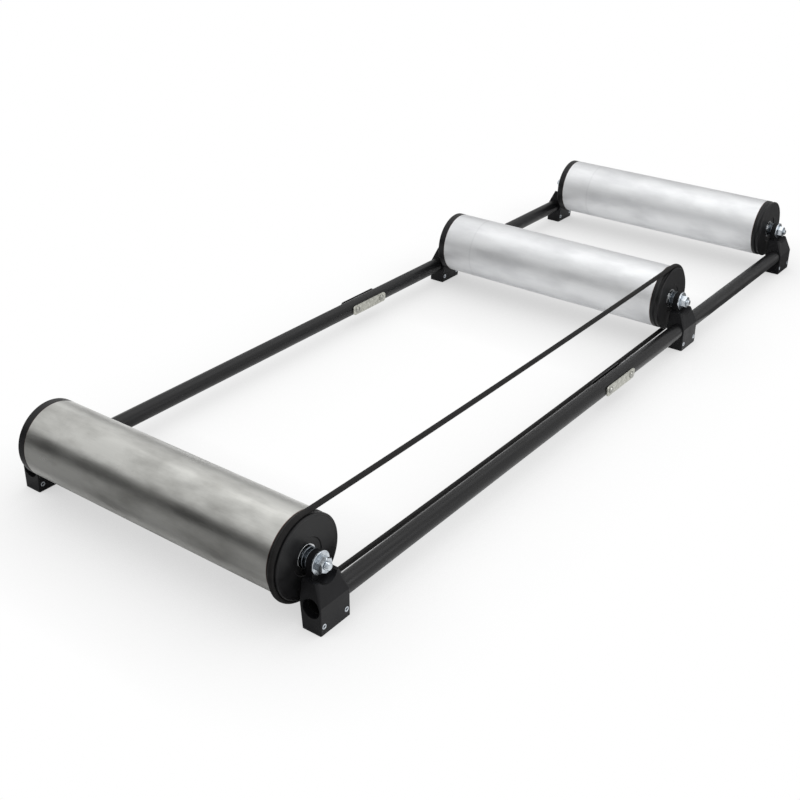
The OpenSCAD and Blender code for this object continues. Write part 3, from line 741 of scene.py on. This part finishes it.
def make_belt_half(name, station, belt_x, material, nodes):
    """The belt's half round one drum, from the hinges' middle on the upper run to the lower."""
    centre = CENTRE[station]
    outward = 1 if centre[1] > 0 else -1
    # The points lie closest together near the hinges.
    run = [centre[1] * (i / RUN_STEPS) ** HINGE_CROWDING for i in range(RUN_STEPS)]
    points = [(y, belt_run(y, 1)) for y in run]
    for i in range(TURN_STEPS + 1):
        a = math.pi / 2 - math.pi * i / TURN_STEPS
        points.append((centre[1] + outward * GROOVE_R * math.cos(a),
                       centre[2] + GROOVE_R * math.sin(a)))
    points += [(y, belt_run(y, -1)) for y in run[::-1]]
    curve = bpy.data.curves.new(name, "CURVE")
    curve.dimensions = "3D"
    curve.bevel_depth = (BELT_D / 2 - BELT_THINNING) * MM
    curve.bevel_resolution = 6
    curve.use_fill_caps = True
    spline = curve.splines.new("POLY")
    spline.points.add(len(points) - 1)
    for point, (y, z) in zip(spline.points, points):
        point.co = (belt_x * MM, y * MM, z * MM, 1)
    tube = bpy.data.objects.new(name + "_path", curve)
    bpy.context.scene.collection.objects.link(tube)
    bpy.context.view_layer.update()
    mesh = bpy.data.meshes.new_from_object(tube.evaluated_get(
        bpy.context.evaluated_depsgraph_get()))
    bpy.data.objects.remove(tube)
    bm = bmesh.new()
    bm.from_mesh(mesh)
    bmesh.ops.remove_doubles(bm, verts=bm.verts, dist=1e-6)
    bmesh.ops.recalc_face_normals(bm, faces=bm.faces)
    bm.to_mesh(mesh)
    bm.free()
    mesh.materials.clear()
    mesh.materials.append(material)
    mesh.shade_smooth()
    mesh.set_sharp_from_angle(angle=math.radians(50))
    piece = bpy.data.objects.new(name, mesh)
    bpy.context.scene.collection.objects.link(piece)
    near = HINGE_BLEND * outward
    ends = [(0, near * MM, 0), (0, 0, 0)]
    if outward < 0:
        ends.reverse()
    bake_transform(piece)
    if nodes:
        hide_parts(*nodes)


# ---------------------------------------------------------------- the scene

FLOOR_LIFT_NEAR, FLOOR_LIFT_FAR = 0.25, 0.6
SHADOW_REACH, SHADOW_DEPTH = 0.17, 0.5
scene = bpy.context.scene
scene.view_settings.view_transform = "Standard"

make_camera()
make_softbox("overhead_softbox", (0.2, 0.2, 2.4), (0.1, 0.1, 0), (3.2, 3.2), 32)
make_softbox("front_softbox", (1.6, -2.2, 1.9), (0, -0.2, 0), (1.6, 1.6), 9)
make_softbox("side_softbox", (1.5, 0.2, 0.8), (0.25, 0.2, 0.1), (0.6, 0.6), 5)

world = bpy.data.worlds.new("studio")
scene.world = world
world.use_nodes = True
sky = world.node_tree
sky.nodes.clear()
sky_out = add(sky, "OutputWorld", {}, {})
sky_path = add(sky, "LightPath", {}, {})
seen_by = add(sky, "Math", {"operation": "MAXIMUM"},
              {0: sky_path.outputs["Is Camera Ray"],
               1: sky_path.outputs["Is Glossy Ray"]}).outputs[0]
seen_by = add(sky, "Math", {"operation": "MAXIMUM"},
              {0: seen_by, 1: sky_path.outputs["Is Transmission Ray"]}).outputs[0]
strength = add(sky, "MapRange", {}, {"Value": seen_by, "To Min": 0.6,
                                     "To Max": 1.0}).outputs[0]
paint = add(sky, "Background", {}, {"Color": (1, 1, 1, 1), "Strength": strength}).outputs[0]
sky.links.new(paint, sky_out.inputs["Surface"])

floor_bm = bmesh.new()
bmesh.ops.create_grid(floor_bm, x_segments=2, y_segments=2, size=12)
floor_mesh = bpy.data.meshes.new("studio_floor")
floor_bm.to_mesh(floor_mesh)
floor_bm.free()
floor_mesh.materials.append(studio_floor())
floor = bpy.data.objects.new("studio_floor", floor_mesh)
# Light passes the floor, so that the section that folds under it is lit too.
floor.visible_shadow = False
scene.collection.objects.link(floor)

# Two cards stand low in front and give each drum its dark band, one stands behind and greys
# the drums' tops, and three lie on the floor for the drums' undersides and the caps.
make_flag("front_flag", (-0.75, -2.2, 0.45), 2.4, 0.9, 90, -24, 0.012, 0.03)
make_flag("left_flag", (-2.3, -0.6, 0.35), 2.0, 0.6, 90, -75, 0.012, 0.03)
make_flag("floor_flag", (-0.55, -1.5, 0.002), 2.1, 1.56, 0, 0, 0.37, 0.43)
# The card under the front drum is painted shadow: its tone stands in for the drum's own shadow on
# the floor, as the metal's mirror image sees it.
make_flag("near_flag", (-0.05, -0.6, 0.002), 0.6, 0.24, 0, 0, 0.84, 0.94)
make_flag("side_flag", (0.5, 0.865, 0.002), 0.62, 1.01, 0, 0, 0.2, 0.28)
make_flag("back_flag", (-1.2, 2.8, 0.75), 5.0, 1.5, 90, 12, 0.6, 0.7)

tube_middle_x = CENTRE["front"][0]
# The front drum's tube is burnished by the tyres: smoother, with stronger smears. Its base colours
# are also darker than the other tubes' as painted shade: they stand in for the dimmer surroundings
# that the front drum mirrors.
worn_and_shaded_aluminium = mill_finish_aluminium("mill_finish_aluminium_worn_and_shaded", "#c2c2be", "#aaaaa8",
                                       "#5c5a56", 0.5, 0.27, 0.04, tube_middle_x, TUBE_LENGTH / 2)
clean_aluminium = mill_finish_aluminium("mill_finish_aluminium", "#d4d5d6", "#c5c6c8",
                                        "#9b9ca0", 0.35, 0.46, 0.17, tube_middle_x, TUBE_LENGTH / 2)
cap_nylon = moulded_nylon("turned_black_nylon", "#111112", "#1a1a1b", 0.38, 0.19, 0.5, 0.03, 0.25)
support_nylon = moulded_nylon("moulded_black_nylon", "#0e0e10", "#161618", 0.42, 0.14, 0.8, 0.05,
                              0.3)
rail_coat_and_plate_shade = powder_coat("satin_black_powder_coat_and_plate_shade", "#0f0f10", "#262628")
zinc = plated_steel("bright_zinc_plating", "#c4cacf", "#9aa0a7", 0.2, 0.6, 0.006, (1, 1, 1))
# The inner washers and the jam nuts sit in the narrow gap between the cap and the support's ear.
# Their zinc is drawn darker than the outer hardware's as painted shade: it stands in for the shade
# of that gap and for the black cap and ear mirrored in them.
shaded_zinc = plated_steel("shaded_zinc_plating", "#7d8389", "#4e545b", 0.24, 0.6, 0.006, (1, 1, 1))
bearing_steel = plated_steel("polished_bearing_steel", "#c9cbcd", "#a9abad", 0.16, 0.5, 0.01,
                             (1, 1, 1))
brushed = plated_steel("brushed_stainless_steel", "#b4b4ac", "#94948c", 0.38, 0.5, 0.02,
                       (1, 0.03, 1))
rivet_steel = plated_steel("nickel_plated_rivet_steel", "#a6a6a1", "#6f6f6a", 0.2, 0.5, 0.01,
                           (1, 1, 1))
rubber = belt_rubber("black_rubber_cord")

for station in STATIONS:
    make_drum_tube(station, worn_and_shaded_aluminium if station == "front" else clean_aluminium)
    make_cap(station, -1, cap_nylon)
    make_cap(station, 1, cap_nylon)
    make_bearing_rings(station, bearing_steel)
    make_axle(station, zinc)
    make_washers(station, "_inner_washers", *INNER_WASHER, shaded_zinc)
    make_washers(station, "_outer_washers", *OUTER_WASHER, zinc)
    rounded_copy(station + "_axle_nuts", station + "_axle_nuts_plated", 0.25, SHARP, 2,
                 CHASSIS[station], zinc)
    rounded_copy(station + "_jam_nut", station + "_jam_nut_plated", 0.2, SHARP, 2,
                 CHASSIS[station], shaded_zinc)
    rounded_copy(station + "_rail_screws", station + "_rail_screws_plated", 0.2, SHARP, 2,
                 CHASSIS[station], zinc)
    make_support_pins(station, zinc)
    for side in ("left", "right"):
        node = station + "_support_" + side
        rounded_copy(node, node + "_moulding", 1.0, math.radians(20), 3, CHASSIS[station],
                     support_nylon)

for section, body in (("front", "front_section"), ("rear", "rear_section")):
    for side in ("left", "right"):
        node = section + "_rail_" + side
        rounded_copy(node, node + "_coat_and_shade", 0.25, SHARP, 2, body, rail_coat_and_plate_shade)

# The photograph's plates are bright on each rail's +X side and black on the other.
for plate in ("left_inner", "right_outer"):
    node = "hinge_plate_" + plate
    rounded_copy(node, node + "_brushed", 0.35, SHARP, 3, "hinge_links",
                 brushed)
# The other plates are drawn in the rails' black coat as painted shade: it stands in for the shade
# between each plate and its rail and for the black tube mirrored in the plate.
for plate in ("left_outer", "right_inner"):
    node = "hinge_plate_" + plate
    rounded_copy(node, node + "_coat_and_shade", 0.35, SHARP, 3, "hinge_links",
                 rail_coat_and_plate_shade)
make_hinge_rivets(rivet_steel)

belt_x = middle_of("drive_belt")[0]
make_belt_half("belt_middle_half", "middle", belt_x, rubber,
               ["drive_belt"])
make_belt_half("belt_front_half", "front", belt_x, rubber, [])

# What runs inside the bearings keeps its CAD shape.
for station in STATIONS:
    for kind in ("_bearing_balls", "_bearing_inner_rings", "_axle_spacers"):
        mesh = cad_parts[station + kind].data
        mesh.materials.clear()
        mesh.materials.append(bearing_steel)
